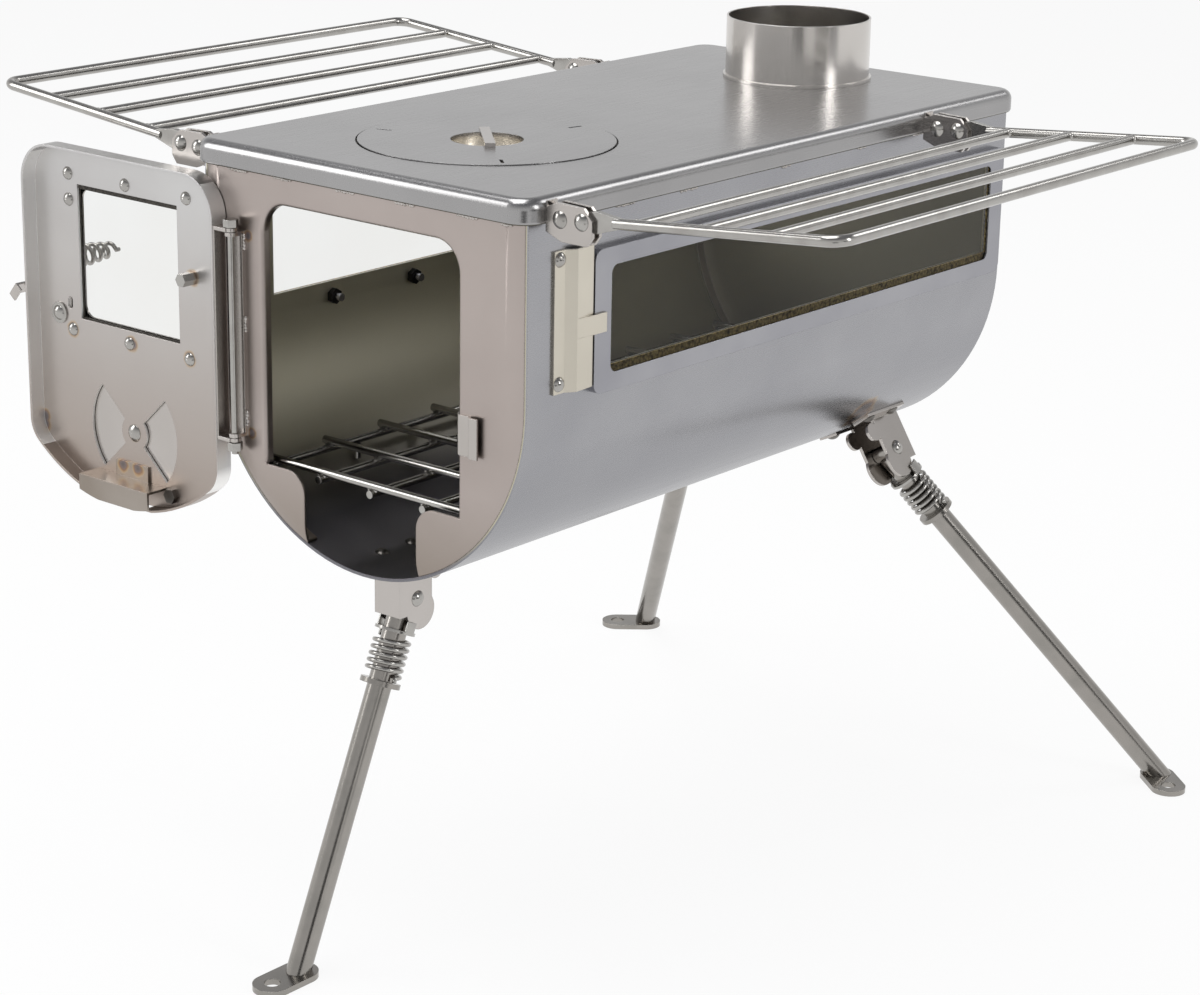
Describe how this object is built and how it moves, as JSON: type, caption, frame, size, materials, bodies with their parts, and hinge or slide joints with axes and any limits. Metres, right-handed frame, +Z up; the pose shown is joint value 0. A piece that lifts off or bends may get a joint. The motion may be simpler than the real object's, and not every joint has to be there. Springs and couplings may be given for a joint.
{
  "type": "folding tent wood stove",
  "caption": "Folding sheet-steel tent stove with hinged glass door, side windows, hotplate, flue collar, grate, rod side shelves and sprung folding legs.",
  "frame": {"origin": "on the floor, under the middle of the overall footprint", "axes": "+Z up, +Y towards the rear panel, +X to the right when facing the fire door"},
  "size_m": [0.52, 0.5268, 0.4175],
  "materials": {
    "shell_steel": "satin",
    "panel_steel": "brushed satin",
    "lid_steel": "satin",
    "bright_steel": "polished",
    "plain_steel": "satin",
    "dark_steel": "satin, heat darkened",
    "window_glass": "clear, smoke tinted",
    "gasket_cord": "woven, matt"
  },
  "bodies": {
    "stove_body": {"body_shell": "shell_steel", "front_panel": "panel_steel", "rear_panel": "panel_steel", "top_plate": "lid_steel", "flue_collar": "bright_steel", "hotplate_seat": "dark_steel", "window_frame_left": "shell_steel", "window_frame_right": "shell_steel", "window_glass_left": "window_glass", "window_glass_right": "window_glass", "window_gasket_left": "gasket_cord", "window_gasket_right": "gasket_cord", "window_clip_left": "shell_steel", "window_clip_right": "shell_steel", "clip_screws": "dark_steel", "window_nuts": "dark_steel", "hinge_bracket": "plain_steel", "hinge_bolt": "dark_steel", "hinge_nut": "dark_steel", "latch_catch": "plain_steel", "shelf_brackets": "bright_steel", "shelf_rivets": "bright_steel", "leg_bracket_front": "shell_steel", "leg_bracket_rear_left": "shell_steel", "leg_bracket_rear_right": "shell_steel", "leg_bracket_rivets": "dark_steel", "leg_pivot_rivets": "bright_steel"},
    "door": {"door_pan": "plain_steel", "door_window_frame": "plain_steel", "door_glass": "window_glass", "door_gasket": "gasket_cord", "door_screws": "dark_steel", "door_hinge_bracket": "plain_steel", "door_lip": "plain_steel", "lip_bolt": "dark_steel", "vent_rivet": "bright_steel", "door_stud": "dark_steel", "latch_spindle": "dark_steel"},
    "damper": {"air_damper": "plain_steel"},
    "latch": {"door_handle": "plain_steel", "handle_grip": "bright_steel"},
    "hotplate": {"hotplate": "lid_steel", "hotplate_bar": "dark_steel"},
    "grate": {"grate": "dark_steel"},
    "left_shelf": {"shelf_left": "bright_steel"},
    "right_shelf": {"shelf_right": "bright_steel"},
    "front_leg": {"leg_tube_front": "plain_steel", "foot_plate_front": "plain_steel", "leg_spring_front": "bright_steel"},
    "front_cup": {"lock_cup_front": "bright_steel"},
    "rear_left_leg": {"leg_tube_rear_left": "plain_steel", "foot_plate_rear_left": "plain_steel", "leg_spring_rear_left": "bright_steel"},
    "rear_left_cup": {"lock_cup_rear_left": "bright_steel"},
    "rear_right_leg": {"leg_tube_rear_right": "plain_steel", "foot_plate_rear_right": "plain_steel", "leg_spring_rear_right": "bright_steel"},
    "rear_right_cup": {"lock_cup_rear_right": "bright_steel"}
  },
  "joints": [
    {"name": "door_hinge", "type": "hinge", "parent": "stove_body", "child": "door", "pos_m": [-0.0768, -0.19819, 0.2955], "axis": [0, 0, 1], "range_deg": [0, 180]},
    {"name": "damper_turn", "type": "hinge", "parent": "door", "child": "damper", "pos_m": [-0.1528, -0.19319, 0.23], "axis": [0, 1, 0], "range_deg": [0, 90]},
    {"name": "latch_turn", "type": "hinge", "parent": "door", "child": "latch", "pos_m": [-0.2055, -0.19319, 0.2825], "axis": [0, -1, 0], "range_deg": [0, 40]},
    {"name": "hotplate_lift", "type": "slide", "parent": "stove_body", "child": "hotplate", "axis": [0, 0, 1], "range_m": [0, 0.05]},
    {"name": "grate_lift", "type": "slide", "parent": "stove_body", "child": "grate", "axis": [0, 0, 1], "range_m": [0, 0.025]},
    {"name": "left_shelf_fold", "type": "hinge", "parent": "stove_body", "child": "left_shelf", "pos_m": [-0.125, -0.18089, 0.3778], "axis": [0, 1, 0], "range_deg": [0, 100]},
    {"name": "right_shelf_fold", "type": "hinge", "parent": "stove_body", "child": "right_shelf", "pos_m": [0.125, -0.18089, 0.3778], "axis": [0, -1, 0], "range_deg": [0, 100]},
    {"name": "front_leg_fold", "type": "hinge", "parent": "stove_body", "child": "front_leg", "pos_m": [0, -0.16189, 0.1735], "axis": [1, 0, 0], "range_deg": [0, 113.6]},
    {"name": "front_cup_slide", "type": "slide", "parent": "front_leg", "child": "front_cup", "axis": [0, -0.4003, -0.9164], "range_m": [0, 0.008], "stiffness_N_per_m": 1500, "springref_m": -0.003, "deforming": ["leg_spring_front"]},
    {"name": "rear_left_leg_fold", "type": "hinge", "parent": "stove_body", "child": "rear_left_leg", "pos_m": [-0.06498, 0.14591, 0.1895], "axis": [0.8425, 0, -0.5388], "range_deg": [-110, 0]},
    {"name": "rear_left_cup_slide", "type": "slide", "parent": "rear_left_leg", "child": "rear_left_cup", "axis": [-0.4842, 0.4384, -0.7572], "range_m": [0, 0.008], "stiffness_N_per_m": 1500, "springref_m": -0.003, "deforming": ["leg_spring_rear_left"]},
    {"name": "rear_right_leg_fold", "type": "hinge", "parent": "stove_body", "child": "rear_right_leg", "pos_m": [0.06498, 0.14591, 0.1895], "axis": [0.8425, 0, 0.5388], "range_deg": [-110, 0]},
    {"name": "rear_right_cup_slide", "type": "slide", "parent": "rear_right_leg", "child": "rear_right_cup", "axis": [0.4842, 0.4384, -0.7572], "range_m": [0, 0.008], "stiffness_N_per_m": 1500, "springref_m": -0.003, "deforming": ["leg_spring_rear_right"]}
  ]
}
